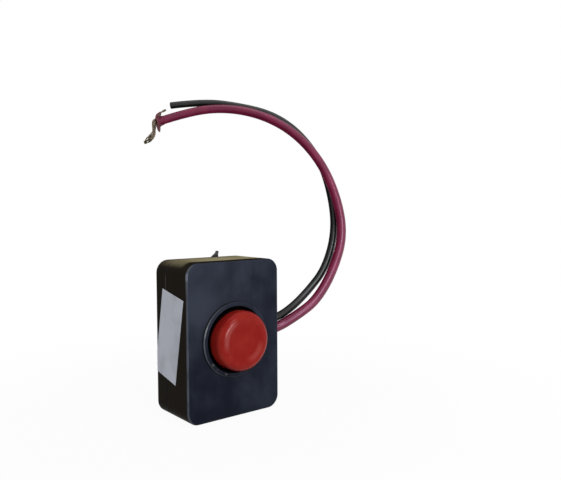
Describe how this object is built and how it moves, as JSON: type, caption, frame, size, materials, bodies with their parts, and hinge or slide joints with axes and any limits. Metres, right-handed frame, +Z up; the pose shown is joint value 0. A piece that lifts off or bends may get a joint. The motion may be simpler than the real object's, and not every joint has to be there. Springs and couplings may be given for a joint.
{
  "type": "pushbutton switch",
  "caption": "Small black moulded box with a round red momentary push button on its front and a red and a black flying lead out of its side.",
  "frame": {"origin": "centre of the box's bottom face, on which the box stands", "axes": "+Z up the box's height, -Y out of the front face with the button, +X to the right wall where the leads come out"},
  "size_m": [0.0755, 0.0835, 0.1132],
  "materials": {
    "black_plastic": "satin moulded",
    "red_plastic": "worn gloss",
    "nylon": "natural",
    "spring_steel": "bright",
    "screw_steel": "zinc plated",
    "contact_brass": "rolled strip",
    "contact_silver": "satin silver",
    "board_laminate": "brown laminate",
    "solder": "soldered",
    "black_rubber": "matt",
    "red_insulation": "soft satin",
    "black_insulation": "soft satin",
    "copper": "tarnished copper",
    "label_paper": "bare paper"
  },
  "bodies": {
    "box": {"housing": "black_plastic", "back_cover": "black_plastic", "cover_screws": "screw_steel", "contact_base": "board_laminate", "base_screws": "screw_steel", "upper_terminal": "contact_brass", "lower_terminal": "contact_brass", "fixed_contacts": "contact_silver", "solder_joints": "solder", "lead_grommet": "black_rubber", "red_lead": "red_insulation", "black_lead": "black_insulation", "red_lead_strands": "copper", "paper_label": "label_paper", "return_spring": "spring_steel"},
    "button": {"button_cap": "red_plastic", "plunger": "nylon", "retaining_clip": "spring_steel", "contact_bridge": "contact_brass", "bridge_contacts": "contact_silver"}
  },
  "joints": [
    {"name": "button_press", "type": "slide", "parent": "box", "child": "button", "axis": [0, 1, 0], "range_m": [0, 0.0025], "stiffness_N_per_m": 1000, "springref_m": -0.002, "deforming": ["return_spring"]}
  ]
}
